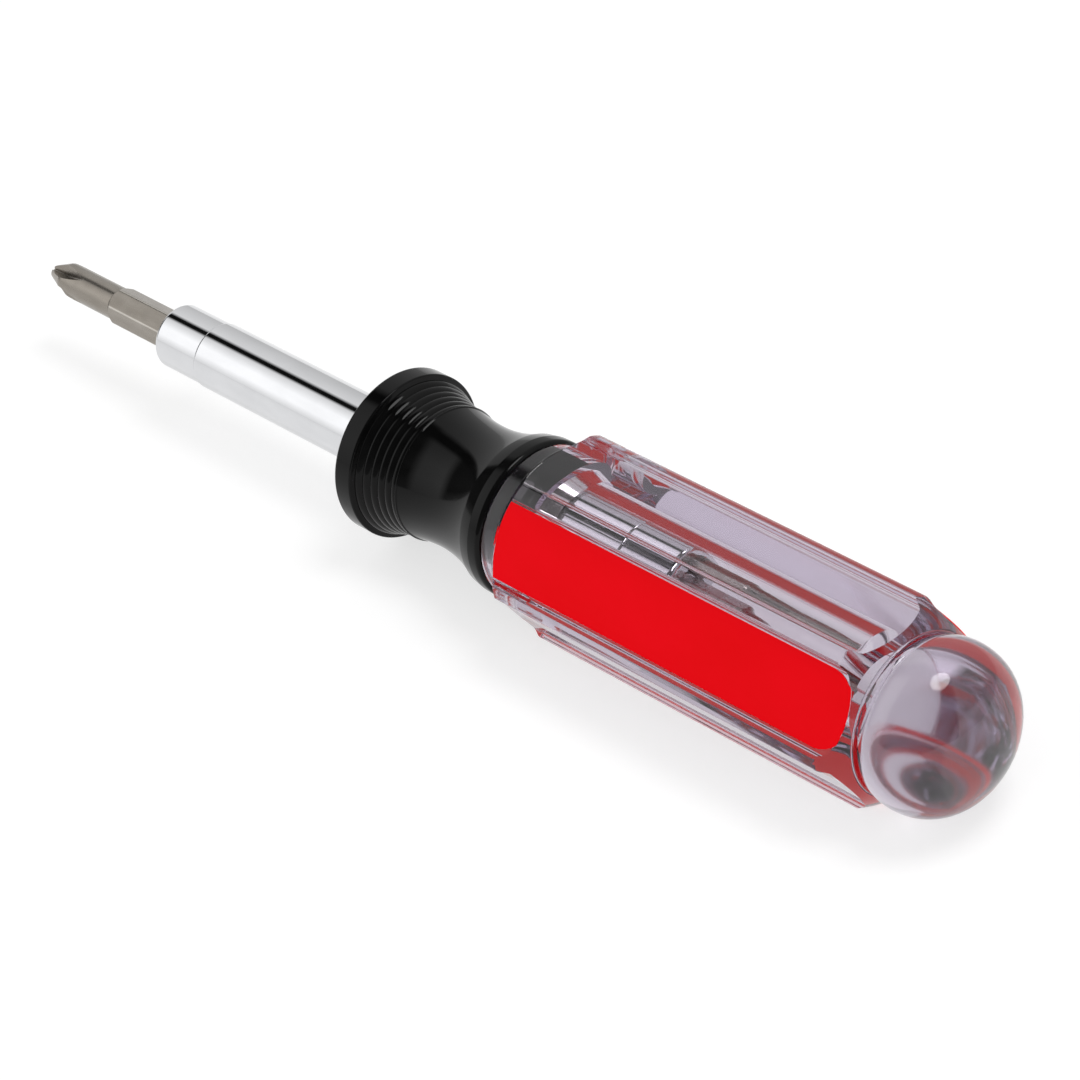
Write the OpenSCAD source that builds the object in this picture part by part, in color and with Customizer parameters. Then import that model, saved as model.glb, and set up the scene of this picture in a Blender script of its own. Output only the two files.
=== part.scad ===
// Multi-bit screwdriver with a reversible shank.
// Clear fluted handle with three coloured inlays, black ferrule, plated shank, two double-ended bits.
// Millimetres. X runs along the tool towards the working tip, Z is up, the tool lies on an inlay side.

/* [Lengths along the tool] */
// working tip to the front face of the nose socket
bit_reach = 34.8; // [30:0.1:38]
// front face of the nose socket to the mouth of the ferrule
shank_reach = 57.4; // [45:0.1:75]
// ferrule from its mouth to the back of the bead
ferrule_length = 34.5; // [28:0.1:42]
// bare neck of the handle between bead and front rim
neck_gap = 3.9; // [2.5:0.1:6]
// handle from its front rim to the end of the ball
handle_length = 94.6; // [85:0.1:110]

/* [Handle] */
// radius over the six lands
land_r = 17.66; // [15.5:0.01:19]
// half of the angle that one land takes up
land_half_angle = 5; // [3:0.1:8]
// distance from the axis to the floor of a flute
flute_floor = 15.05; // [14.6:0.01:15.6]
// half of the flat width of a flute floor
flute_half_width = 6.65; // [5.5:0.05:7.2]
// thickness of a coloured inlay under the flute floor
inlay_depth = 0.4; // [0.3:0.05:0.6]
// half of the width of a coloured inlay
inlay_half_width = 6.6; // [5.5:0.05:6.65]
// radius of the front rim where the front chamfer starts
rim_r = 14.9; // [14.6:0.01:15.2]
// length of the front chamfer
front_chamfer = 3.1; // [2:0.1:5]
// length of the rounded shoulder in front of the ball groove
rear_shoulder = 4.9; // [3:0.1:7]
// radius where the rounded shoulder ends
shoulder_r = 13.46; // [13:0.01:13.9]
// share of the shoulder that falls in a straight line, the rest is crowned
shoulder_straight = 0.55; // [0.3:0.05:1]
// width of the half-round groove in front of the ball
groove_width = 1.9; // [1.2:0.1:2.4]
// largest radius of the ball
ball_r = 14.45; // [13:0.01:15]
// length of the dome behind the largest radius of the ball
ball_dome = 11.7; // [10:0.1:14]
// radius of the rounded side of the ball
ball_side_r = 10.3; // [9.5:0.1:11]
// radius of the bare neck
neck_r = 13.55; // [12.5:0.05:14.2]
// radius of the counterbore that takes the spigot of the ferrule
spigot_r = 10; // [9.5:0.05:10.4]
// length of the spigot behind the bead of the ferrule
spigot_length = 7.9; // [3.5:0.1:8.5]
// radius of the blind bore for the shank
bore_r = 6.4; // [6.35:0.01:6.8]
// flat end of the bore measured from the front rim
bore_depth = 70; // [68:0.1:72]

/* [Ferrule] */
// radius of the plain front flange
flange_r = 14.68; // [14.2:0.01:15.6]
// length of the plain front flange
flange_length = 4; // [3:0.1:5]
// spacing of the ring ribs behind the flange
rib_pitch = 1.36; // [1.2:0.02:1.5]
// radius of the round of one ring rib
rib_round = 0.72; // [0.6:0.02:0.8]
// smallest radius of the waist
waist_r = 11.25; // [11.1:0.01:11.6]
// radius of the waist where the ribs end
waist_front_r = 11.85; // [11.7:0.01:12.2]
// radius of the bead
bead_r = 14.08; // [13:0.01:14.8]
// radius of the hole in the mouth
mouth_r = 8.2; // [8:0.05:8.8]

/* [Shank] */
// outside radius of the shank tube
tube_r = 6.1; // [5.8:0.01:6.2]
// inside radius of the shank tube
tube_bore_r = 4.6; // [4.5:0.05:4.9]
// shank from one socket face to the other
shank_length = 127.5; // [116:0.1:130]
// outside radius of a nose socket
nose_r = 5.9; // [5.6:0.01:6]
// length of a nose socket outside the tube
nose_length = 10.8; // [8:0.1:14]
// width across flats of a nose socket
socket_af = 6.45; // [6.4:0.01:6.5]
// radius over the drive collar
collar_r = 6.9; // [6.7:0.01:7]
// radius over the two drive lugs
lug_r = 7.5; // [7.2:0.01:7.6]
// width of a drive lug
lug_width = 3; // [2:0.1:4]
// length of the drive collar
collar_length = 5; // [3:0.1:5]

/* [Bush] */
// outside radius of the drive bush
bush_r = 8; // [7.9:0.05:8.3]
// length of the tapered tail of the drive bush
bush_tail = 3.5; // [2:0.1:5]
// radius at the end of the tapered tail
bush_tail_r = 6.9; // [6.7:0.05:7.5]
// radial clearance of the shank in the bush
bush_clearance = 0.05; // [0.02:0.01:0.09]
// wire radius of the shank ring
shank_wire = 0.5; // [0.4:0.05:0.6]

/* [Bits] */
// width across flats of a bit
bit_af = 6.35; // [6.3:0.01:6.38]
// radius of the round ends of a bit
bit_round_r = 3.07; // [2.8:0.01:3.12]
// length of the round cross-point end
cross_end = 18.3; // [15:0.1:24]
// length of the slotted end behind the hexagon
slot_end = 22.7; // [18:0.1:25]
// length of the tapered neck of the slotted end
slot_neck = 8.4; // [5:0.1:10]
// radius of the slotted end behind its neck
slot_r = 2.2; // [1.9:0.01:2.6]
// radius of the blunt end of a cross point
cross_tip_r = 1.2; // [0.9:0.01:1.4]
// length of the cone of a cross point
cross_cone = 4.4; // [3:0.1:7]
// half width of one arm of a cross point at its tip
cross_arm = 0.48; // [0.35:0.01:0.7]
// lean of the cross-point grooves from the axis in degrees
cross_lean = 15; // [10:0.1:18]
// thickness of a slotted blade at its edge
blade_edge = 1.1; // [0.8:0.05:1.4]
// length over which a slotted blade tapers
blade_taper = 11; // [8:0.1:12]
// wire radius of a bit ring
bit_wire = 0.35; // [0.3:0.01:0.4]

/* [Hidden] */
round_n = 96;
big = 60;
overall = bit_reach + shank_reach + ferrule_length + neck_gap + handle_length;
x_tip = overall / 2;
x_nose = x_tip - bit_reach;
x_mouth = x_nose - shank_reach;
x_bead = x_mouth - ferrule_length;
x_rim = x_bead - neck_gap;
x_ball = -overall / 2;
x_equator = x_ball + ball_dome;
x_groove = x_equator + 3.7;
x_shoulder_end = x_groove + groove_width / 2;
x_shoulder = x_shoulder_end + rear_shoulder;
x_land = x_rim - front_chamfer;
x_lip = x_mouth - 2.9;
x_spigot = x_bead - spigot_length;
x_tail = x_spigot - bush_tail;
x_bore = x_rim - bore_depth;
x_back = x_nose - shank_length;
x_middle = (x_nose + x_back) / 2;
axis_z = land_r * cos(30 - land_half_angle);
wall_top = land_r * cos(30 - land_half_angle);
wall_half = land_r * sin(30 - land_half_angle);
ball_cap_r = (ball_dome * ball_dome + pow(ball_r - ball_side_r, 2) - ball_side_r * ball_side_r)
    / (2 * (ball_dome - ball_side_r));
bit_length = 2 * bit_reach + 0.2;
socket_depth = bit_reach + 0.4;
ring_inset = 3;
inlay_turns = [0, 120, 240];

// Turns a frame with z along the tool into the frame of the part
module on_axis() {
    translate([0, 0, axis_z])
        rotate([0, 90, 0])
            children();
}

// Right half plane of a turned profile
module outside_axis() {
    translate([0, -4 * big])
        square([big, 8 * big]);
}

// Ball with a rounded side and a flatter cap
module ball() {
    cap_x = x_ball + ball_cap_r;
    rotate_extrude($fn = round_n)
        intersection() {
            outside_axis();
            translate([ball_r - ball_side_r, x_equator])
                circle(r = ball_side_r, $fn = round_n);
        }
    rotate_extrude($fn = round_n)
        intersection() {
            outside_axis();
            translate([0, cap_x])
                circle(r = ball_cap_r, $fn = round_n);
            polygon([
                [0, cap_x],
                [0, x_ball - 5],
                [4 * (ball_r - ball_side_r), cap_x + 4 * (x_equator - cap_x)]]);
        }
}

// Turned handle before the flutes are cut
module turned_blank() {
    shoulder_drop = land_r - shoulder_r;
    difference() {
        union() {
            rotate_extrude($fn = round_n)
                polygon(concat([
                    [0, x_bead],
                    [neck_r, x_bead],
                    [neck_r, x_rim + 0.5],
                    [rim_r - 0.4, x_rim],
                    [rim_r, x_rim - 0.15],
                    [land_r, x_land]],
                    [for (t = [0 : 0.2 : 1.001])
                        [land_r - shoulder_drop * t * (shoulder_straight + (1 - shoulder_straight) * t),
                            x_shoulder - rear_shoulder * t]], [
                    [shoulder_r, x_equator],
                    [0, x_equator]]));
            ball();
        }
        // half-round groove between shoulder and ball
        rotate_extrude($fn = round_n)
            translate([shoulder_r + 0.15, x_groove])
                circle(r = groove_width / 2, $fn = 48);
    }
}

// One flute along the whole handle with sloping walls and a flat floor
module flute(turn) {
    rotate([0, 0, turn])
        translate([0, 0, x_ball])
            linear_extrude(height = handle_length + 2)
                polygon([
                    [flute_floor, -flute_half_width],
                    [wall_top, -wall_half],
                    [land_r + 3, -wall_half - (land_r + 3 - wall_top)],
                    [land_r + 3, wall_half + (land_r + 3 - wall_top)],
                    [wall_top, wall_half],
                    [flute_floor, flute_half_width]]);
}

// Handle with its flutes but without its bore
module fluted_blank() {
    difference() {
        turned_blank();
        for (turn = [0 : 60 : 300])
            flute(turn);
    }
}

// Pocket under one flute floor that takes an inlay
module inlay_pocket(turn) {
    rotate([0, 0, turn])
        translate([flute_floor - inlay_depth, -inlay_half_width, x_shoulder_end + 0.6])
            cube([4, 2 * inlay_half_width, x_rim - 0.35 - x_shoulder_end - 0.6]);
}

// Counterbore for the ferrule, seat of the bush and blind bore with a drill point
module handle_bore() {
    rotate_extrude($fn = round_n)
        polygon([
            [0, x_bead + 1],
            [spigot_r, x_bead + 1],
            [spigot_r, x_spigot],
            [bush_r, x_spigot],
            [bush_tail_r, x_tail],
            [bore_r, x_tail],
            [bore_r, x_bore],
            [0, x_bore - bore_r * 0.55]]);
}

// Clear handle, cast in one piece with the ball
module handle_body() {
    color([0.86, 0.82, 0.88, 0.45])
        on_axis()
            difference() {
                fluted_blank();
                for (turn = inlay_turns)
                    inlay_pocket(turn);
                handle_bore();
            }
}

// Coloured strip that lines the floor of one flute
module inlay(turn) {
    color([0.88, 0.02, 0.07])
        on_axis()
            intersection() {
                fluted_blank();
                inlay_pocket(turn);
            }
}

// Strip under the tool
module inlay_lower() {
    inlay(0);
}

// Strip on the +Y side
module inlay_left() {
    inlay(120);
}

// Strip on the -Y side
module inlay_right() {
    inlay(240);
}

// Radius over the ring ribs at a share of the way from the flange to the waist
function rib_top(t) = flange_r - 0.7 - (flange_r - 0.7 - waist_front_r) * t - 1.6 * t * (1 - t);

// Flange, ring ribs, waist, bead and spigot of the ferrule as one solid
module ferrule_outside() {
    x_flange = x_mouth - flange_length;
    x_ribs = x_flange - 6 * rib_pitch - 0.2;
    x_waist = x_ribs - 6.2;
    x_flare = x_bead + 4.6;
    x_band = x_bead + 3;
    flare_r = bead_r - 0.38;
    waist_round = (pow(x_waist - x_flare, 2) + pow(flare_r - waist_r, 2)) / (2 * (flare_r - waist_r));
    union() {
        rotate_extrude($fn = round_n)
            difference() {
                polygon([
                    [0, x_mouth],
                    [flange_r - 0.6, x_mouth],
                    [flange_r, x_mouth - 0.6],
                    [flange_r, x_flange + 0.25],
                    [flange_r - 0.25, x_flange],
                    [rib_top(0) - 0.2, x_flange - 0.1],
                    [rib_top(0.25) - 0.2, x_flange - rib_pitch * 1.5],
                    [rib_top(0.5) - 0.2, x_flange - rib_pitch * 3],
                    [rib_top(0.75) - 0.2, x_flange - rib_pitch * 4.5],
                    [rib_top(1) - 0.2, x_ribs + 0.4],
                    [waist_front_r + 0.2, x_ribs + 0.3],
                    [waist_front_r + 0.2, x_ribs],
                    [waist_front_r, x_ribs - 0.15],
                    [waist_r, x_waist],
                    [flare_r, x_flare],
                    [bead_r, x_band],
                    [bead_r, x_bead + 1],
                    [bead_r - 1, x_bead],
                    [0, x_bead]]);
                difference() {
                    translate([waist_r + waist_round, x_waist])
                        circle(r = waist_round, $fn = 2 * round_n);
                    translate([0, x_waist])
                        square([big, big]);
                }
            }
        // spigot that goes into the handle
        rotate_extrude($fn = round_n)
            translate([0, x_spigot])
                square([spigot_r, spigot_length + 1]);
        // rounded back edge of the bead
        rotate_extrude($fn = round_n)
            translate([bead_r - 1, x_bead + 1])
                circle(r = 1, $fn = 48);
        // ring ribs down the back of the flange
        for (i = [0 : 5])
            rotate_extrude($fn = round_n)
                translate([rib_top((i + 0.5) / 6) - rib_round, x_flange - rib_pitch * (i + 0.55)])
                    circle(r = rib_round, $fn = 48);
    }
}

// Black moulded piece with a lipped mouth, pressed into the handle
module ferrule() {
    color([0.05, 0.05, 0.05])
        on_axis()
            difference() {
                ferrule_outside();
                rotate_extrude($fn = round_n)
                    polygon([
                        [0, x_mouth + 1],
                        [mouth_r + 0.8, x_mouth + 1],
                        [mouth_r + 0.8, x_mouth],
                        [mouth_r, x_mouth - 0.8],
                        [mouth_r, x_lip],
                        [bush_r, x_lip],
                        [bush_r, x_spigot - 1],
                        [0, x_spigot - 1]]);
            }
}

// Plated sleeve in ferrule and handle with a seat, two keyways, a ring groove and a tapered tail
module drive_bush() {
    x_seat = x_middle - collar_length / 2 - bush_clearance;
    x_ring = x_bead + 4;
    seat_r = collar_r + 0.08;
    inner_r = tube_r + bush_clearance;
    color([0.78, 0.78, 0.8])
        on_axis()
            difference() {
                rotate_extrude($fn = round_n)
                    difference() {
                        polygon([
                            [inner_r, x_lip],
                            [bush_r, x_lip],
                            [bush_r, x_spigot],
                            [bush_tail_r, x_tail],
                            [inner_r, x_tail]]);
                        translate([0, x_seat])
                            square([seat_r, big]);
                        translate([tube_r + shank_wire + 0.03, x_ring])
                            circle(r = shank_wire + 0.02, $fn = 48);
                    }
                for (side = [0, 180])
                    rotate([0, 0, side + 90])
                        translate([0, -lug_width / 2 - 0.05, x_seat])
                            cube([lug_r + 0.08, lug_width + 0.1, big]);
            }
}

// Split wire ring in the bush that grips the shank
module shank_ring() {
    color([0.62, 0.62, 0.6])
        on_axis()
            translate([0, 0, x_bead + 4])
                rotate([0, 0, 20])
                    rotate_extrude(angle = 320, $fn = round_n)
                        translate([tube_r + shank_wire + 0.03, 0])
                            circle(r = shank_wire, $fn = 32);
}

// Plated tube between the two nose sockets
module shank_tube() {
    x0 = x_back + nose_length;
    x1 = x_nose - nose_length;
    color([0.86, 0.86, 0.87])
        on_axis()
            rotate_extrude($fn = round_n)
                polygon([
                    [tube_bore_r, x0],
                    [tube_r - 0.1, x0],
                    [tube_r, x0 + 0.1],
                    [tube_r, x1 - 0.1],
                    [tube_r - 0.1, x1],
                    [tube_bore_r, x1]]);
}

// Ring with two drive lugs pressed on the middle of the tube
module drive_collar() {
    x0 = x_middle - collar_length / 2;
    color([0.7, 0.7, 0.7])
        on_axis()
            difference() {
                union() {
                    translate([0, 0, x0])
                        cylinder(r = collar_r, h = collar_length, $fn = round_n);
                    intersection() {
                        translate([-lug_width / 2, -lug_r - 1, x0])
                            cube([lug_width, 2 * lug_r + 2, collar_length]);
                        translate([0, 0, x0])
                            cylinder(r = lug_r, h = collar_length, $fn = round_n);
                    }
                }
                translate([0, 0, x0 - 1])
                    cylinder(r = tube_r, h = collar_length + 2, $fn = round_n);
            }
}

// Bit socket with its face at zero, pointing along +z
module nose_socket() {
    socket_r = socket_af / 2 / cos(30);
    difference() {
        rotate_extrude($fn = round_n)
            polygon([
                [0, 0],
                [nose_r - 0.5, 0],
                [nose_r, -0.5],
                [nose_r, -nose_length],
                [tube_bore_r, -nose_length],
                [tube_bore_r, -socket_depth - 1.2],
                [tube_bore_r - 0.5, -socket_depth - 1.7],
                [0, -socket_depth - 1.7]]);
        translate([0, 0, -socket_depth])
            cylinder(r = socket_r, h = socket_depth + 1, $fn = 6);
        // lead-in at the face and the groove for the bit ring
        rotate_extrude($fn = round_n)
            polygon([
                [0, 1],
                [socket_r + 1.4, 1],
                [socket_r - 0.2, -0.6],
                [0, -0.6]]);
        rotate_extrude($fn = round_n)
            translate([0, -ring_inset])
                translate([0, -bit_wire - 0.02])
                    square([bit_af / 2 / cos(30) + 2 * bit_wire + 0.03, 2 * bit_wire + 0.04]);
    }
}

// Nose socket at the working end
module nose_front() {
    color([0.84, 0.84, 0.85])
        on_axis()
            translate([0, 0, x_nose])
                nose_socket();
}

// The same socket at the other end of the tube, inside the handle
module nose_rear() {
    color([0.84, 0.84, 0.85])
        on_axis()
            translate([0, 0, x_back])
                rotate([180, 0, 0])
                    nose_socket();
}

// Split wire ring that steadies a bit in its socket
module bit_ring(x) {
    color([0.62, 0.62, 0.6])
        on_axis()
            translate([0, 0, x])
                rotate([0, 0, 30])
                    rotate_extrude(angle = 300, $fn = round_n)
                        translate([bit_af / 2 / cos(30) + bit_wire + 0.02, 0])
                            circle(r = bit_wire, $fn = 32);
}

// Ring in the working nose
module bit_ring_front() {
    bit_ring(x_nose - ring_inset);
}

// Ring in the stored nose
module bit_ring_rear() {
    bit_ring(x_back + ring_inset);
}

// Four tapering grooves of a cross point whose blunt end is at zero
module cross_grooves() {
    for (turn = [45 : 90 : 315])
        rotate([0, 0, turn])
            translate([cross_arm * sqrt(2), 0, 0])
                rotate([0, -cross_lean, 0])
                    rotate([0, 0, -45])
                        translate([0, 0, -18])
                            linear_extrude(height = 20)
                                polygon([[0.25, 0], [6, 0], [6, 6], [0, 6], [0, 0.25]]);
}

// Double-ended bit, cross point at zero pointing along +z, slotted blade at the other end
module bit(length) {
    hex_r = bit_af / 2 / cos(30);
    difference() {
        union() {
            // hexagon with its corners turned down at both shoulders
            intersection() {
                translate([0, 0, -length + slot_end])
                    cylinder(r = hex_r, h = length - slot_end - cross_end, $fn = 6);
                rotate_extrude($fn = round_n)
                    polygon([
                        [0, -cross_end],
                        [bit_round_r, -cross_end],
                        [hex_r + 0.1, -cross_end - 1.2],
                        [hex_r + 0.1, -length + slot_end + 1.2],
                        [bit_round_r, -length + slot_end],
                        [0, -length + slot_end]]);
            }
            rotate_extrude($fn = round_n)
                polygon([
                    [0, 0],
                    [cross_tip_r, 0],
                    [bit_round_r, -cross_cone],
                    [bit_round_r, -length + slot_end],
                    [slot_r, -length + slot_end - slot_neck],
                    [slot_r, -length + 0.2],
                    [slot_r - 0.2, -length],
                    [0, -length]]);
        }
        cross_grooves();
        // two flats that taper to the slotted edge
        for (side = [-1, 1])
            translate([0, 0, -length])
                rotate([90, 0, 90])
                    translate([0, 0, -10])
                        linear_extrude(height = 20)
                            polygon([
                                [side * blade_edge / 2, -1],
                                [side * blade_edge / 2, 0.6],
                                [side * (slot_r + 0.1), blade_taper],
                                [side * 9, blade_taper],
                                [side * 9, -1]]);
    }
}

// Bit in the working nose, cross point out
module front_bit() {
    color([0.5, 0.47, 0.44])
        on_axis()
            translate([0, 0, x_tip])
                bit(bit_length);
}

// Bit in the stored nose, slotted blade out
module rear_bit() {
    color([0.5, 0.47, 0.44])
        on_axis()
            translate([0, 0, x_back + bit_length - bit_reach])
                bit(bit_length);
}

handle_body();
inlay_lower();
inlay_left();
inlay_right();
ferrule();
drive_bush();
shank_ring();
shank_tube();
drive_collar();
nose_front();
nose_rear();
bit_ring_front();
bit_ring_rear();
front_bit();
rear_bit();
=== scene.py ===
from math import cos, pi, radians, sin, sqrt

import bmesh
import bpy
from mathutils import Matrix, Vector


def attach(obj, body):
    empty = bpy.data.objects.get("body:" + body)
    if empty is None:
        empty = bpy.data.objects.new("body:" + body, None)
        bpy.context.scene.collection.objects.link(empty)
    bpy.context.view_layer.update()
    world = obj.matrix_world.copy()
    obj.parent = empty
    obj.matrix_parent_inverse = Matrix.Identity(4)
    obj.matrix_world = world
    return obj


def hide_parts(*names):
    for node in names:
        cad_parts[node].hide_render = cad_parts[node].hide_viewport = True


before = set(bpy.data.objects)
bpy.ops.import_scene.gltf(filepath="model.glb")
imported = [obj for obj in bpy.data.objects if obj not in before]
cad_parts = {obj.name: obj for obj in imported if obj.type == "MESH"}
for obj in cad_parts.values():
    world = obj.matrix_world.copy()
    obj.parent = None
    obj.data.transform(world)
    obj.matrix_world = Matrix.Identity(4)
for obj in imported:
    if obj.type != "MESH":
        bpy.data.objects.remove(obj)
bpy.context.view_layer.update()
scene = bpy.context.scene
scene.view_settings.view_transform = "Standard"
# Light crosses many walls of the clear handle, so it may bounce often.
scene.cycles.max_bounces = 32
scene.cycles.glossy_bounces = 32
scene.cycles.transmission_bounces = 32

# Camera. The tool is seen from behind and above, the ball nearest, through a long lens.
# The axes are the camera's right and back directions, with a small roll about the line of sight.
camera_right = Vector((-0.695, -0.7044, -0.1437)).normalized()
camera_back = Vector((-0.624, 0.4915, 0.6069)).normalized()
camera_up = camera_back.cross(camera_right).normalized()
camera_right = camera_up.cross(camera_back)
axis_height = 0.016005
neck_point = Vector((-0.0157, 0.0, axis_height))
aim_left = 0.00119
aim_down = 0.00243
camera_distance = 0.7309
camera_roll = 0.005
camera_data = bpy.data.cameras.new("camera")
camera_data.lens = 149.0
camera_data.sensor_width = 36.0
camera = bpy.data.objects.new("camera", camera_data)
scene.collection.objects.link(camera)
facing = Matrix((camera_right, camera_up, camera_back)).transposed().to_4x4()
place = facing @ Matrix.Rotation(camera_roll, 4, "Z")
place.translation = (neck_point - aim_left * camera_right - aim_down * camera_up
                     + camera_distance * camera_back)
camera.matrix_world = place
scene.camera = camera

# Studio. A white room gives the fill, one soft box stands to the left, another in front, and a round
# lamp hangs overhead. Metal and clear plastic show grey walls and a white ceiling instead, where a
# black flag draws the thin dark line along the shank.
lamp_aim = Vector((0, 0, 0.02))


def lamp(name, shape, spot, width, height, watts):
    """An area lamp at a spot, aimed at the tool."""
    light = bpy.data.lights.new(name, "AREA")
    light.shape = shape
    light.size = width
    light.size_y = height
    light.energy = watts
    fitting = bpy.data.objects.new(name, light)
    aim = lamp_aim - Vector(spot)
    fitting.matrix_world = Matrix.Translation(spot) @ aim.to_track_quat("-Z", "Y").to_matrix().to_4x4()
    scene.collection.objects.link(fitting)
    return fitting


soft_box = lamp("soft_box_left", "RECTANGLE", (-0.35, 0.75, 0.75), width=0.7, height=0.5, watts=1.4)
soft_box.visible_glossy = False
front_box = lamp("soft_box_front", "RECTANGLE", (0.66, 0.3, 0.8), width=0.6, height=0.5, watts=0.6)
front_box.visible_glossy = False
lamp("round_lamp", "DISK", (-0.337, -0.202, 0.98), width=0.45, height=0.45, watts=3.6)

world = bpy.data.worlds.new("white_room")
scene.world = world
world.use_nodes = True
room = world.node_tree
room.nodes.clear()
room_out = room.nodes.new("ShaderNodeOutputWorld")
room_fill = room.nodes.new("ShaderNodeBackground")
room_fill.inputs["Color"].default_value = (1.0, 1.0, 1.0, 1.0)
room_fill.inputs["Strength"].default_value = 0.55
room_seen = room.nodes.new("ShaderNodeBackground")
room_seen.inputs["Color"].default_value = (1.0, 1.0, 1.0, 1.0)
room_seen.inputs["Strength"].default_value = 1.0
room_mirrored = room.nodes.new("ShaderNodeBackground")
room_mirrored.inputs["Strength"].default_value = 1.45
room_where = room.nodes.new("ShaderNodeTexCoord")
room_split = room.nodes.new("ShaderNodeSeparateXYZ")
room.links.new(room_where.outputs["Generated"], room_split.inputs["Vector"])


def room_step(how, first, second):
    """A sum in the room's own nodes, with sockets or plain numbers."""
    step = room.nodes.new("ShaderNodeMath")
    step.operation = how
    for socket, value in zip(step.inputs, (first, second)):
        if isinstance(value, float):
            socket.default_value = value
        else:
            room.links.new(value, socket)
    return step.outputs["Value"]


def room_shades(position, marks):
    """Greys of the room along a position from 0 to 1."""
    shades = room.nodes.new("ShaderNodeValToRGB")
    ramp = shades.color_ramp
    greys = [(at, (shade, shade, shade, 1.0)) for at, shade in marks]
    ramp.elements[0].color = greys[0][1]
    ramp.elements[1].color = greys[-1][1]
    for at, grey in greys:
        ramp.elements.new(at).color = grey
    room.links.new(position, shades.inputs["Fac"])
    return shades.outputs["Color"]


overhead_turn = room_step("ARCTAN2", room_split.outputs["Y"], room_split.outputs["Z"])
round_the_tool = room_step("ADD", room_step("MULTIPLY", overhead_turn, 0.5 / pi), 0.5)
along_the_tool = room_step("ADD", room_step("MULTIPLY", room_split.outputs["X"], 0.5), 0.5)
wall_grey = 0.45
upper_grey = 0.65
flag_black = 0.004
panel_white = 1.0
walls = room_shades(round_the_tool, [(0.5 + degrees / 360, shade) for degrees, shade in (
    (-90, wall_grey), (-24, upper_grey), (-14, flag_black), (-2, flag_black),
    (6, upper_grey), (36, panel_white), (64, panel_white), (92, upper_grey))])
unlit = 0.05
half_lit = 0.35
lit = 1.0
ceiling = room_shades(round_the_tool, [(0.5 + degrees / 360, shade) for degrees, shade in (
    (-23, lit), (-14, unlit), (70, unlit), (92, half_lit))])
light_panel = room_shades(along_the_tool, [(0.5 + x / 2, shade) for x, shade in (
    (0.40, unlit), (0.50, lit), (0.78, lit), (0.86, unlit))])
room_dim = room.nodes.new("ShaderNodeVectorMath")
room_dim.operation = "SCALE"
room.links.new(walls, room_dim.inputs[0])
room.links.new(room_step("MAXIMUM", ceiling, light_panel), room_dim.inputs["Scale"])
room_through = room.nodes.new("ShaderNodeBackground")
room_through.inputs["Strength"].default_value = 1.0
room.links.new(walls, room_through.inputs["Color"])
room.links.new(room_dim.outputs["Vector"], room_mirrored.inputs["Color"])
room_path = room.nodes.new("ShaderNodeLightPath")
room_shader = room_fill
for rays, seen in (("Is Transmission Ray", room_through), ("Is Glossy Ray", room_mirrored),
                   ("Is Camera Ray", room_seen)):
    room_mix = room.nodes.new("ShaderNodeMixShader")
    room.links.new(room_path.outputs[rays], room_mix.inputs["Fac"])
    room.links.new(room_shader.outputs[0], room_mix.inputs[1])
    room.links.new(seen.outputs[0], room_mix.inputs[2])
    room_shader = room_mix
room.links.new(room_shader.outputs[0], room_out.inputs["Surface"])

# Floor. A sheet of white card, wider than the view, that keeps a pale soft shadow under the tool.
# Much of its white is its own glow, so that the card stays white to the edges of the picture.
card_half = 4.0
card_bm = bmesh.new()
bmesh.ops.create_grid(card_bm, x_segments=2, y_segments=2, size=card_half)
card_mesh = bpy.data.meshes.new("floor")
card_bm.to_mesh(card_mesh)
card_bm.free()
floor = bpy.data.objects.new("floor", card_mesh)
scene.collection.objects.link(floor)
card = bpy.data.materials.new("white_card")
card.use_nodes = True
card_shader = card.node_tree.nodes["Principled BSDF"]
card_shader.inputs["Base Color"].default_value = (0.42, 0.42, 0.42, 1.0)
card_shader.inputs["Roughness"].default_value = 0.9
card_shader.inputs["Specular IOR Level"].default_value = 0.0
card_shader.inputs["Emission Color"].default_value = (1.0, 1.0, 1.0, 1.0)
card_shader.inputs["Emission Strength"].default_value = 0.66
card_mesh.materials.append(card)

# Handle. Cast in one piece from clear plastic with a faint lilac tint, ball included, then polished. Its
# colour is painted deeper and greyer, as painted shade.
# Six flutes run between six rounded lands, and a blind bore with a wider seat takes the shank.
mm = 0.001
axis_place = Matrix.Translation((0, 0, axis_height))


def arc(x, r, radius, start, end, steps):
    """Points of a profile arc about (x, r), angles in degrees from +x towards +r."""
    turns = [radians(start + (end - start) * i / steps) for i in range(steps + 1)]
    return [(x + radius * cos(t), r + radius * sin(t)) for t in turns]


def finish_mesh(name, bm, smooth_angle=32):
    """Closes a bmesh into an object with smooth shading up to an edge angle in degrees."""
    mesh = bpy.data.meshes.new(name)
    bmesh.ops.recalc_face_normals(bm, faces=bm.faces)
    bm.to_mesh(mesh)
    bm.free()
    mesh.shade_smooth()
    mesh.set_sharp_from_angle(angle=radians(smooth_angle))
    piece = bpy.data.objects.new(name, mesh)
    scene.collection.objects.link(piece)
    return piece


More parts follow.
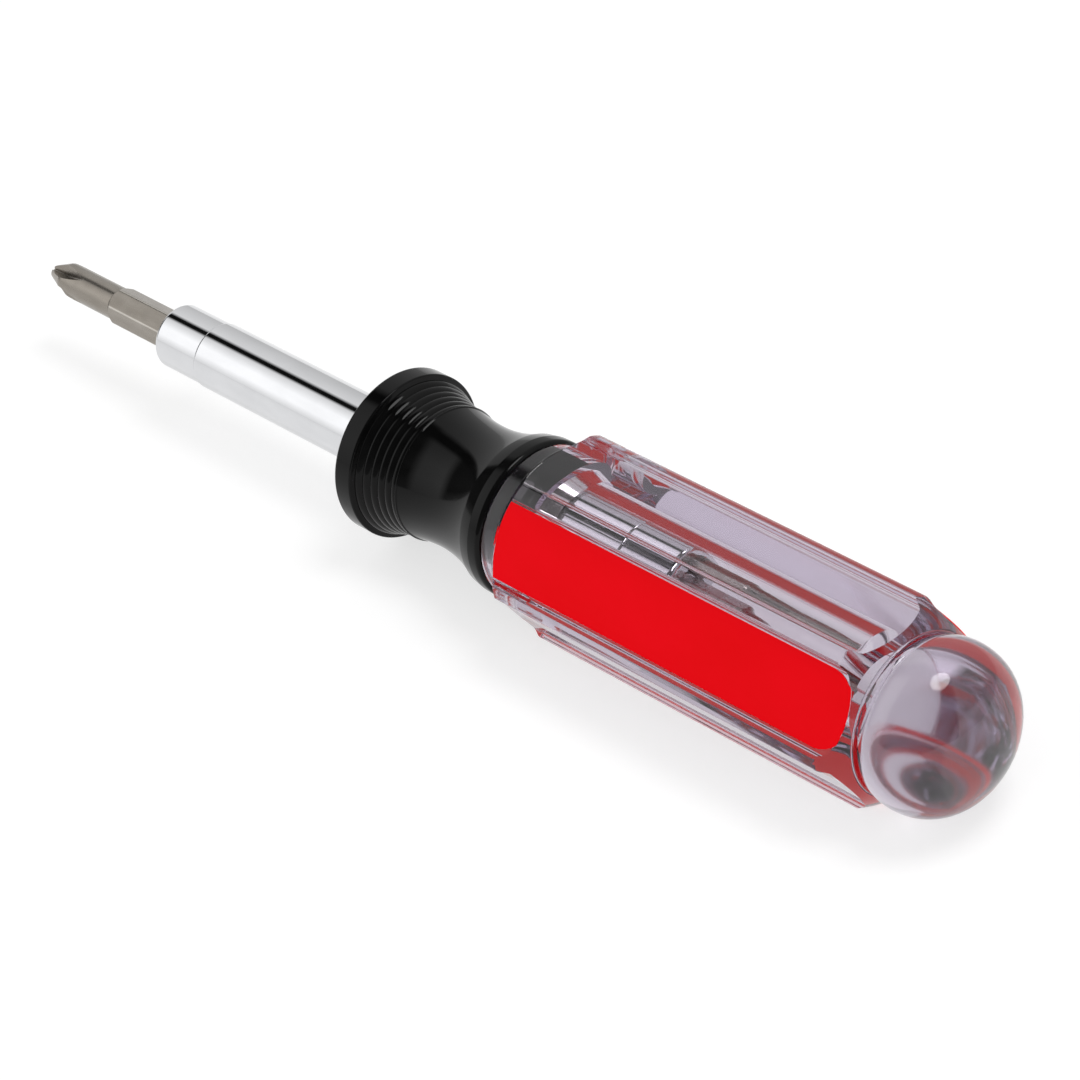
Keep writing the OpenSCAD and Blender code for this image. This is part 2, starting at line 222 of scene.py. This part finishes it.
def turned(name, profile, steps=160, smooth_angle=32, ring=False):
    """A piece turned about the tool's axis from (x, r) points in millimetres, a ring if it has a hole."""
    bm = bmesh.new()
    # A point close to each end of a long run keeps the shading of its wall even.
    hold = 0.1
    steady = profile[:1]
    for (x0, r0), (x1, r1) in zip(profile, profile[1:]):
        run = sqrt((x1 - x0) ** 2 + (r1 - r0) ** 2)
        if run > 2 and r0 > 0 and r1 > 0:
            steady += [(x0 + (x1 - x0) * t, r0 + (r1 - r0) * t) for t in (hold / run, 1 - hold / run)]
        steady.append((x1, r1))
    points = [bm.verts.new((x * mm, 0, axis_height + r * mm)) for x, r in steady]
    edges = [bm.edges.new(pair) for pair in zip(points, points[1:])]
    if ring:
        edges.append(bm.edges.new((points[-1], points[0])))
    bmesh.ops.spin(bm, geom=points + edges, cent=(0, 0, axis_height), axis=(1, 0, 0), angle=2 * pi,
                   steps=steps, use_merge=True)
    bmesh.ops.remove_doubles(bm, verts=bm.verts, dist=1e-6)
    return finish_mesh(name, bm, smooth_angle)


def prism(name, corners, start, end, turn=None):
    """A bar along x whose cross-section has (y, z, rounding) corners in millimetres about the origin."""
    bm = bmesh.new()
    points = [bm.verts.new((start * mm, y * mm, z * mm)) for y, z, rounding in corners]
    bm.faces.new(points)
    for size in sorted({rounding for y, z, rounding in corners if rounding}):
        chosen = [point for point, corner in zip(points, corners) if corner[2] == size]
        bmesh.ops.bevel(bm, geom=chosen, offset=size * mm, segments=5 if size < 1 else 14, profile=0.5,
                        affect="VERTICES", material=-1)
    grown = bmesh.ops.extrude_face_region(bm, geom=bm.faces[:])
    far = [v for v in grown["geom"] if isinstance(v, bmesh.types.BMVert)]
    bmesh.ops.translate(bm, verts=far, vec=((end - start) * mm, 0, 0))
    if turn is not None:
        bmesh.ops.transform(bm, verts=bm.verts, matrix=turn)
    bmesh.ops.transform(bm, verts=bm.verts, matrix=axis_place)
    return finish_mesh(name, bm, 25)


def cut(piece, tool, how, smooth_angle=32):
    """Cuts a piece with a tool shape, which is used up."""
    boolean = piece.modifiers.new("cut", "BOOLEAN")
    boolean.object = tool
    boolean.operation = how
    boolean.solver = "EXACT"
    done = bpy.data.meshes.new_from_object(piece.evaluated_get(bpy.context.evaluated_depsgraph_get()))
    piece.modifiers.clear()
    piece.data = done
    done.shade_smooth()
    done.set_sharp_from_angle(angle=radians(smooth_angle))
    bpy.data.objects.remove(tool)


def dress(piece, material, body, slot, *nodes):
    """Gives a piece its material, the body it moves with and the solids it stands for. Its slot is not
    used.
    """
    piece.data.name = piece.name
    piece.data.materials.clear()
    piece.data.materials.append(material)
    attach(piece, body)
    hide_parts(*nodes)


def finish(name, colour, metal, rough):
    """A material with the constants of its shader."""
    material = bpy.data.materials.new(name)
    material.use_nodes = True
    shader = material.node_tree.nodes["Principled BSDF"]
    shader.inputs["Base Color"].default_value = (*colour, 1.0)
    shader.inputs["Metallic"].default_value = metal
    shader.inputs["Roughness"].default_value = rough
    return material, shader


def grain(material, pitch, detail=3.0):
    """A noise whose patches are about pitch millimetres long in x, y and z."""
    nodes, links = material.node_tree.nodes, material.node_tree.links
    where = nodes.new("ShaderNodeTexCoord")
    stretch = nodes.new("ShaderNodeMapping")
    stretch.inputs["Scale"].default_value = tuple(1000.0 / size for size in pitch)
    pattern = nodes.new("ShaderNodeTexNoise")
    pattern.inputs["Scale"].default_value = 1.0
    pattern.inputs["Detail"].default_value = detail
    links.new(where.outputs["Object"], stretch.inputs["Vector"])
    links.new(stretch.outputs["Vector"], pattern.inputs["Vector"])
    return pattern.outputs["Fac"]


def spread(material, pattern, low, high, start=0.3, end=0.7):
    """Carries a pattern from its own range onto a range of values."""
    carry = material.node_tree.nodes.new("ShaderNodeMapRange")
    carry.inputs["From Min"].default_value = start
    carry.inputs["From Max"].default_value = end
    carry.inputs["To Min"].default_value = low
    carry.inputs["To Max"].default_value = high
    material.node_tree.links.new(pattern, carry.inputs["Value"])
    return carry.outputs["Result"]


def off_axis(material):
    """The distance of a point from the tool's axis, in metres."""
    nodes, links = material.node_tree.nodes, material.node_tree.links
    where = nodes.new("ShaderNodeTexCoord")
    flatten = nodes.new("ShaderNodeMapping")
    flatten.inputs["Location"].default_value = (0, 0, -axis_height)
    flatten.inputs["Scale"].default_value = (0, 1, 1)
    reach = nodes.new("ShaderNodeVectorMath")
    reach.operation = "LENGTH"
    links.new(where.outputs["Object"], flatten.inputs["Vector"])
    links.new(flatten.outputs["Vector"], reach.inputs[0])
    return reach.outputs["Value"]


def relief(material, shader, pattern, depth, strength):
    """Lifts the surface by a pattern, depth in millimetres."""
    bump = material.node_tree.nodes.new("ShaderNodeBump")
    bump.inputs["Strength"].default_value = strength
    bump.inputs["Distance"].default_value = depth * mm
    material.node_tree.links.new(pattern, bump.inputs["Height"])
    material.node_tree.links.new(bump.outputs["Normal"], shader.inputs["Normal"])


def tint(material, shader, pattern, dark, light):
    """Shades the colour between two tones by a pattern from 0 to 1."""
    blend = material.node_tree.nodes.new("ShaderNodeValToRGB")
    blend.color_ramp.elements[0].color = (*dark, 1.0)
    blend.color_ramp.elements[1].color = (*light, 1.0)
    material.node_tree.links.new(pattern, blend.inputs["Fac"])
    material.node_tree.links.new(blend.outputs["Color"], shader.inputs["Base Color"])


land_r = 17.66
land_edge = 7.463
flute_floor = 15.05
flute_half = 6.65
floor_ease = 0.45
land_ease = 0.55
one_side = ((-flute_half, flute_floor, floor_ease), (flute_half, flute_floor, floor_ease),
            (land_edge, axis_height / mm, land_ease),
            (land_r * sin(radians(30)), land_r * cos(radians(30)), 0),
            (land_r * sin(radians(35)), land_r * cos(radians(35)), land_ease))
flute_section = []
for side in range(6):
    about = Matrix.Rotation(radians(-60 * side), 2)
    for across, out, rounding in one_side:
        point = about @ Vector((across, out))
        flute_section.append((point.x, -point.y, rounding))


def flute_bar():
    """A long bar with the section of the flutes, to cut turned shapes with."""
    return prism("flutes", flute_section, -114, 30)


seat_r = 10.03
bore_r = 6.4
fine_turn = 192
bore = [(-91.52, 0.0), (-88.0, bore_r), (-25.55, bore_r), (-25.55, 6.93), (-22.05, 8.03),
        (-22.05, seat_r), (-14.16, seat_r)]
rim = ([(-14.16, 13.3), (-14.34, 13.55), (-17.05, 13.55)]
       + arc(-17.05, 14.05, 0.5, 270, 200, 5) + arc(-18.35, 14.55, 0.4, 30, 133, 7))
lands = [(-21.36, 17.9), (-90.84, 17.9)]
shoulder = ([(-91.35 - 4.9 * t, land_r - 4.2 * t * (0.55 + 0.45 * t)) for t in [i / 12 for i in range(12)]]
            + arc(-95.95, 13.52, 0.3, 60, 175, 6))
neck = arc(-97.2, 13.61, 0.95, 355, 190, 14)
ball = arc(-100.9, 4.15, 10.3, 74, 142.5, 20) + arc(-95.449, 0.0, 17.151, 142.72, 180, 20)
handle_profile = bore + rim + lands + shoulder + neck + ball
handle = turned("handle", handle_profile, steps=fine_turn)

# The wall of the seat lies a hair low, so the ferrule touches it only at the top and shows black there.
seat_drop = 0.034
seat_lean = 8
seat_shift = Matrix.Rotation(radians(seat_lean), 3, "X") @ Vector((0, 0, -seat_drop * mm))
axis_point = Vector((0, axis_height))
seat_bm = bmesh.new()
seat_bm.from_mesh(handle.data)
seat_wall = [v for v in seat_bm.verts if abs((v.co.yz - axis_point).length - seat_r * mm) < 1e-6]
bmesh.ops.translate(seat_bm, verts=seat_wall, vec=seat_shift)
seat_bm.to_mesh(handle.data)
seat_bm.free()
cut(handle, flute_bar(), "INTERSECT")

# Three flutes get a shallow pocket for a strip, a hair wider and deeper than the strip itself.
strip_half = 6.5
strip_bottom = 14.85
strip_ease = 5.5
pocket_gap = 0.04
clear_of_lands = 19
strip_places = ((0, "inlay_lower"), (120, "inlay_left"), (240, "inlay_right"))


def strip_block(turn, start, end, bottom, half):
    """A block over one flute from a depth outwards, with its rear corners rounded."""
    plan = [(-half, start, strip_ease), (half, start, strip_ease), (half, end, 0), (-half, end, 0)]
    lie = Matrix.Rotation(radians(turn), 4, "X") @ Matrix.Rotation(radians(90), 4, "Y")
    return prism("block", plan, bottom, clear_of_lands, lie)


for turn, node in strip_places:
    pocket = strip_block(turn, -95.7, -18.3, strip_bottom - pocket_gap, strip_half + pocket_gap)
    cut(handle, pocket, "DIFFERENCE")

clear, clear_shader = finish("clear_lilac_plastic_painted_shade", (0.97, 0.96, 0.975), 0.0, 0.02)
clear_shader.inputs["IOR"].default_value = 1.48
clear_where = clear.node_tree.nodes.new("ShaderNodeTexCoord")
clear_split = clear.node_tree.nodes.new("ShaderNodeSeparateXYZ")
clear.node_tree.links.new(clear_where.outputs["Object"], clear_split.inputs["Vector"])
along_handle = clear_split.outputs["X"]
ball_starts, ball_full = -0.097, -0.101
clearness = spread(clear, along_handle, 0.99, 0.94, ball_starts, ball_full)
clear.node_tree.links.new(clearness, clear_shader.inputs["Transmission Weight"])
polish = clear.node_tree.nodes.new("ShaderNodeMath")
polish.operation = "ADD"
buffing = spread(clear, grain(clear, (30, 30, 30), 1.0), 0.015, 0.035)
ball_haze = spread(clear, along_handle, 0.0, 0.04, ball_starts, ball_full)
clear.node_tree.links.new(buffing, polish.inputs[0])
clear.node_tree.links.new(ball_haze, polish.inputs[1])
clear.node_tree.links.new(polish.outputs["Value"], clear_shader.inputs["Roughness"])
# The lilac of the tint is the plastic's own. Its grey depth, on the outer surface and through the body, is
# painted shade for the shadowed floor seen through the handle.
bore_side, outer_side = 0.009, 0.0095
outer_tint_and_shade = spread(clear, off_axis(clear), 0.0, 1.0, bore_side, outer_side)
tint(clear, clear_shader, outer_tint_and_shade, (0.96, 0.955, 0.965), (0.70, 0.665, 0.72))
body_tint_and_shade = clear.node_tree.nodes.new("ShaderNodeVolumeAbsorption")
body_tint_and_shade.inputs["Color"].default_value = (0.62, 0.55, 0.67, 1.0)
body_tint_and_shade.inputs["Density"].default_value = 24.0
clear_output = clear.node_tree.nodes["Material Output"]
clear.node_tree.links.new(body_tint_and_shade.outputs["Volume"], clear_output.inputs["Volume"])
dress(handle, clear, "handle", "clear", "handle_body")

# Inlays. Three opaque red strips, one in a shallow pocket on the floor of every second flute, with a
# painted red glow of their own, though they are no lamp.
# Their rear corners are rounded. The lower one is bonded all over, so the handle shows its back,
# and the other two lie on a hair of air.
red, red_shader = finish("red_strip_painted_glow", (0.79, 0.0, 0.006), 0.0, 0.45)
red_shader.inputs["Specular IOR Level"].default_value = 0.05
# Painted glow: the strips glow red by themselves, standing in for light that reaches them through the clear
# handle.
red_shader.inputs["Emission Color"].default_value = (0.83, 0.0, 0.004, 1.0)
red_shader.inputs["Emission Strength"].default_value = 0.55
mottle = spread(red, grain(red, (14, 9, 9)), 0.0, 1.0)
tint(red, red_shader, mottle, (0.33, 0.0, 0.001), (0.37, 0.0, 0.003))
satin = spread(red, grain(red, (1.5, 0.6, 0.6)), 0.38, 0.52)
red.node_tree.links.new(satin, red_shader.inputs["Roughness"])
relief(red, red_shader, grain(red, (0.5, 0.3, 0.3), 2.0), 0.003, 0.3)
bonded_strip = "inlay_lower"
bond_depth = 0.08
bond_half = 6.4
for turn, node in strip_places:
    strip = turned(node + "_strip", handle_profile, steps=fine_turn)
    cut(strip, flute_bar(), "INTERSECT")
    block = strip_block(turn, -95.65, -18.35, strip_bottom, strip_half)
    if node == bonded_strip:
        bond = strip_block(turn, -95.55, -18.45, strip_bottom - bond_depth, bond_half)
        cut(block, bond, "UNION")
    cut(strip, block, "INTERSECT")
    dress(strip, red, "handle", "red", node)

# Ferrule. A glossy black moulding with a plain flange, six fine ring ribs, a slim waist and a rounded lip.
# A spigot behind the lip is pressed into the handle, and the hole lets the shank pass.
flange_back = 16.4
rib_count = 6
rib_pitch = 1.36
rib_depth = 0.26
rib_points = 12


def rib_crest(t):
    """Radius over the ribs, from the flange at 0 to the waist at 1."""
    return 13.98 - 2.13 * t - 1.6 * t * (1 - t)


ribs = []
for i in range(1, rib_count * rib_points):
    along = i / (rib_count * rib_points)
    wave = abs(sin(pi * rib_count * along)) ** 0.7
    rib_x = flange_back - 0.1 - rib_count * rib_pitch * along
    ribs.append((rib_x, rib_crest(along) - rib_depth * (1 - wave)))
ferrule_profile = (
    [(17.5, 8.2)] + arc(19.9, 8.7, 0.5, 270, 360, 5)
    + arc(19.8, 14.08, 0.6, 0, 90, 8)
    + arc(16.7, 14.38, 0.3, 90, 180, 5)
    + ribs
    + [(8.2, 12.02), (8.1, 12.05), (8.0, 12.02), (7.89, 11.85)]
    + arc(1.84, 42.05, 30.8, 281.2, 270, 12)
    + arc(1.84, 38.72, 27.47, 269, 245.6, 22)
    + arc(-11.6, 13.58, 0.5, 70, 90, 3)
    + arc(-13.1, 13.08, 1.0, 90, 180, 10)
    + [(-14.1, 10.0), (-22.0, 10.0), (-22.0, 8.02), (17.5, 8.02)])
ferrule = turned("ferrule_cap", ferrule_profile, steps=fine_turn, smooth_angle=50, ring=True)
black, black_shader = finish("black_moulding", (0.004, 0.004, 0.004), 0.0, 0.1)
black_shader.inputs["Specular IOR Level"].default_value = 0.13
depth_of_black = spread(black, grain(black, (9, 5, 5)), 0.0, 1.0)
tint(black, black_shader, depth_of_black, (0.002, 0.002, 0.002), (0.004, 0.004, 0.004))
sheen = spread(black, grain(black, (4, 2.5, 2.5)), 0.05, 0.13)
black.node_tree.links.new(sheen, black_shader.inputs["Roughness"])
relief(black, black_shader, grain(black, (1.2, 0.9, 0.9), 2.0), 0.004, 0.2)
dress(ferrule, black, "handle", "black", "ferrule")

# Drive bush. A nickel-plated steel sleeve pressed into the ferrule, its tapered tail in the handle.
# A groove inside holds a spring ring, and two keyways at its front take the lugs of the shank.
nickel, nickel_shader = finish("nickel_plate", (0.74, 0.73, 0.71), 1.0, 0.15)
lathe_tone = spread(nickel, grain(nickel, (0.15, 6, 6)), 0.0, 1.0)
tint(nickel, nickel_shader, lathe_tone, (0.66, 0.65, 0.64), (0.80, 0.79, 0.77))
lathe_gloss = spread(nickel, grain(nickel, (0.4, 4, 4)), 0.1, 0.24)
nickel.node_tree.links.new(lathe_gloss, nickel_shader.inputs["Roughness"])
relief(nickel, nickel_shader, grain(nickel, (0.12, 8, 8), 2.0), 0.004, 0.3)


def plate(node, material):
    """Gives a solid of the frame a finish of its own."""
    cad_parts[node].data.materials.clear()
    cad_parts[node].data.materials.append(material)


plate("drive_bush", nickel)

# Shank ring. A split ring of drawn spring wire in the groove of the bush, which grips the shank.
# The wire is bare steel with fine die lines.
wire, wire_shader = finish("spring_wire", (0.52, 0.52, 0.50), 1.0, 0.28)
drawn_tone = spread(wire, grain(wire, (0.1, 0.4, 0.4)), 0.0, 1.0)
tint(wire, wire_shader, drawn_tone, (0.42, 0.42, 0.41), (0.58, 0.58, 0.56))
die_lines = spread(wire, grain(wire, (0.08, 0.5, 0.5)), 0.2, 0.36)
wire.node_tree.links.new(die_lines, wire_shader.inputs["Roughness"])
plate("shank_ring", wire)

# Shank tube. Drawn steel tube under bright chrome, its ends eased, with a nose pressed into each end.
# Faint lathe rings and a slight haze stay under the plate.
chrome, chrome_shader = finish("bright_chrome", (0.86, 0.86, 0.875), 1.0, 0.05)
plate_tone = spread(chrome, grain(chrome, (7, 3, 3)), 0.0, 1.0)
tint(chrome, chrome_shader, plate_tone, (0.64, 0.645, 0.66), (0.68, 0.685, 0.70))
haze = spread(chrome, grain(chrome, (3, 2, 2)), 0.03, 0.08)
chrome.node_tree.links.new(haze, chrome_shader.inputs["Roughness"])
relief(chrome, chrome_shader, grain(chrome, (0.25, 30, 30), 2.0), 0.003, 0.15)
tube_profile = (
    [(67.0, 4.6)] + arc(66.6, 5.7, 0.4, 0, 90, 6)
    + arc(-38.5, 5.7, 0.4, 90, 180, 6) + [(-38.9, 4.6)])
tube = turned("tube", tube_profile, ring=True, smooth_angle=50)
dress(tube, chrome, "shank", "chrome", "shank_tube")

# Drive collar. A plated ring with two lugs, pressed on the middle of the tube.
# It seats in the bush and carries the turning force into the handle.
plate("drive_collar", nickel)

# Noses. Two chromed steel sockets, one pressed into each end of the tube, with a rounded front edge.
# A hexagon hole takes the bit, and a groove inside it holds a spring ring.
hexagon = [(sin(radians(60 * i)), cos(radians(60 * i))) for i in range(6)]
bit_flats = 6.35
socket_flats = 6.45
socket_r = socket_flats / 2 / cos(radians(30))
bit_corner_r = bit_flats / 2 / cos(radians(30))
groove_r = bit_corner_r + 0.73
nose_edge = 40
for name, face, way, node in (("nose_working", 77.8, 1, "nose_front"),
                              ("nose_stored", -49.7, -1, "nose_rear")):
    outline = ([(0, 0), (0, 4.75)] + [(-x, r) for x, r in arc(0.75, 5.15, 0.75, 180, 90, 8)]
               + [(-10.8, 5.9), (-10.8, 4.6), (-36.4, 4.6), (-36.9, 4.1), (-36.9, 0)])
    nose = turned(name, [(face + way * x, r) for x, r in outline], smooth_angle=nose_edge)
    corners = [(socket_r * y, socket_r * z, 0) for y, z in hexagon]
    cut(nose, prism("hole", corners, face - way * 35.2, face + way), "DIFFERENCE", nose_edge)
    mouth = [(1, 0), (1, socket_r + 1.4), (-0.6, socket_r - 0.2), (-0.6, 0)]
    cut(nose, turned("mouth", [(face + way * x, r) for x, r in mouth]), "DIFFERENCE", nose_edge)
    groove = [(-2.63, 0), (-2.63, groove_r), (-3.37, groove_r), (-3.37, 0)]
    cut(nose, turned("groove", [(face + way * x, r) for x, r in groove]), "DIFFERENCE", nose_edge)
    dress(nose, chrome, "shank", "chrome", node)

# Bit rings. Split rings of the same spring wire, one in the groove of each nose.
# They lie round the hexagon and steady the bit.
plate("bit_ring_front", wire)
plate("bit_ring_rear", wire)

# Bits. Two double-ended bits of hardened steel with a brown-grey phosphate tone, ground and tumbled.
# A hexagon in the middle, a cross point on a round end, and a slotted blade behind a tapered neck.
# A disc cutter leaves the curved ends of the cross grooves, and the hexagon's corners are painted lighter
# as a painted edge highlight.
steel, steel_shader = finish("hardened_bit_steel", (0.27, 0.24, 0.21), 1.0, 0.36)
# The colour adds a random phosphate tone and a painted edge highlight, lighter on the hexagon's corners.
tone_and_edge_highlight = steel.node_tree.nodes.new("ShaderNodeMath")
tone_and_edge_highlight.operation = "ADD"
highlight_starts, highlight_top = 0.003545, 0.0036
phosphate = spread(steel, grain(steel, (9, 2.5, 2.5)), 0.0, 0.15)
painted_edge_highlight = spread(steel, off_axis(steel), 0.0, 0.85, highlight_starts, highlight_top)
steel.node_tree.links.new(phosphate, tone_and_edge_highlight.inputs[0])
steel.node_tree.links.new(painted_edge_highlight, tone_and_edge_highlight.inputs[1])
tint(steel, steel_shader, tone_and_edge_highlight.outputs["Value"], (0.25, 0.225, 0.195), (0.72, 0.69, 0.64))
tumbled = spread(steel, grain(steel, (3, 2, 2)), 0.24, 0.30)
steel.node_tree.links.new(tumbled, steel_shader.inputs["Roughness"])
relief(steel, steel_shader, grain(steel, (4, 0.8, 0.8), 2.0), 0.003, 0.06)
cutter_r = 24.0
core_r = 0.75
cutter_ahead = 0.13
hex_back, hex_front = -47.1, -18.3
hex_ease = 0.3
blade_end = -69.8
bit_turn = 96
cutter_turn = 311
bit_edge = 18
for name, tip, body, node in (("bit_working", 112.6, "working_bit", "front_bit"),
                              ("bit_stored", -14.7, "stored_bit", "rear_bit")):
    outline = ([(0, 0), (0, 1.05)] + [(-0.3 + x, r) for x, r in arc(0, 1.05, 0.3, 0, 66, 4)]
               + [(-4.0, 2.97), (-4.5, 3.06), (-5.2, 3.07), (-11.5, 3.07), (hex_back, 3.07)]
               + [(-47.8, 2.97), (-55.0, 2.29), (-55.9, 2.2), (-69.6, 2.2)]
               + [(blade_end, 2.0), (blade_end, 0)])
    bit = turned(name, [(tip + x, r) for x, r in outline], steps=bit_turn)
    corners = [(bit_corner_r * y, bit_corner_r * z, hex_ease) for y, z in hexagon]
    hex_bar = prism("hex_bar", corners, tip + hex_back, tip + hex_front)
    eased = [(hex_front, 0), (hex_front, 3.02), (-19.5, 3.77),
             (-45.9, 3.77), (hex_back, 3.02), (hex_back, 0)]
    cut(hex_bar, turned("eased", [(tip + x, r) for x, r in eased], steps=bit_turn), "INTERSECT")
    for turn in (67, 157, 247, 337):
        disc = [(-5, 0), (-5, cutter_r - 5), (-0.25, cutter_r - 0.25), (-0.1, cutter_r - 0.04)]
        cutter = turned("cutter", disc + [(-x, r) for x, r in disc[::-1]], steps=cutter_turn)
        spot = axis_place @ Matrix.Translation(((tip + cutter_ahead) * mm, 0, 0))
        spot = spot @ Matrix.Rotation(radians(turn), 4, "X")
        spot = spot @ Matrix.Translation((0, 0, (core_r + cutter_r) * mm))
        spot = spot @ Matrix.Rotation(radians(90), 4, "Z")
        cutter.data.transform(spot @ axis_place.inverted())
        cut(bit, cutter, "DIFFERENCE", bit_edge)
    for side in (-1, 1):
        flat = Matrix.Translation(((tip + blade_end) * mm, 0, 0)) @ Matrix.Rotation(radians(90), 4, "Y")
        blade = ((-1, 0.55), (0.6, 0.55), (11.0, 2.3), (11.0, 9), (-1, 9))
        cut(bit, prism("flat", [(side * y, x, 0) for x, y in blade], -10, 10, flat), "DIFFERENCE", bit_edge)
    cut(bit, hex_bar, "UNION", bit_edge)
    dress(bit, steel, body, "bit_steel", node)
